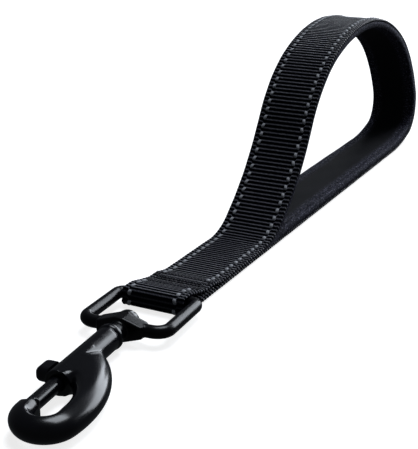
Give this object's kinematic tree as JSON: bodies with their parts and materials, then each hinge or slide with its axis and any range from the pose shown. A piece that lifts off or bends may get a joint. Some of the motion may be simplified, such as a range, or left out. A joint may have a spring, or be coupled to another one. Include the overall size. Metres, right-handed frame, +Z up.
{
  "type": "short traffic lead",
  "caption": "Short dog traffic lead: padded hand loop of ribbed black webbing with reflective stitching, on a swivel bolt snap with a sprung thumb bolt.",
  "frame": {"origin": "on the surface the lead lies on, straight below the middle of the swivel eye's rear bar", "axes": "+X from the snap's hook towards the hand loop, +Y to the left, +Z up; the swivel turns about X and the eye about Y"},
  "size_m": [0.3874, 0.0529, 0.0792],
  "materials": {
    "webbing": "ribbed black nylon webbing",
    "lining": "smooth knit-faced black foam lining",
    "reflective_thread": "grey reflective thread",
    "black_thread": "bonded black thread",
    "coated_metal": "satin black coated casting",
    "spring_steel": "plain spring wire"
  },
  "bodies": {
    "handle": {"handle_webbing": "webbing", "handle_padding": "lining", "reflective_thread_right": "reflective_thread", "reflective_thread_left": "reflective_thread", "lining_thread_right": "black_thread", "lining_thread_left": "black_thread", "eye_tack": "black_thread"},
    "eye": {"swivel_eye": "coated_metal"},
    "snap": {"snap_body": "coated_metal", "swivel_rivet": "coated_metal", "bolt_spring": "spring_steel"},
    "bolt": {"snap_bolt": "coated_metal", "thumb_stud": "coated_metal"}
  },
  "joints": [
    {"name": "eye_hinge", "type": "hinge", "parent": "handle", "child": "eye", "pos_m": [0, 0, 0.00385], "axis": [0, 1, 0], "range_deg": [-120, 120]},
    {"name": "snap_swivel", "type": "hinge", "parent": "eye", "child": "snap", "pos_m": [-0.031, 0, 0.0048], "axis": [1, 0, 0], "continuous": true},
    {"name": "bolt_slide", "type": "slide", "parent": "snap", "child": "bolt", "axis": [1, 0, 0], "range_m": [0, 0.013], "stiffness_N_per_m": 350, "springref_m": -0.007, "deforming": ["bolt_spring"]}
  ]
}
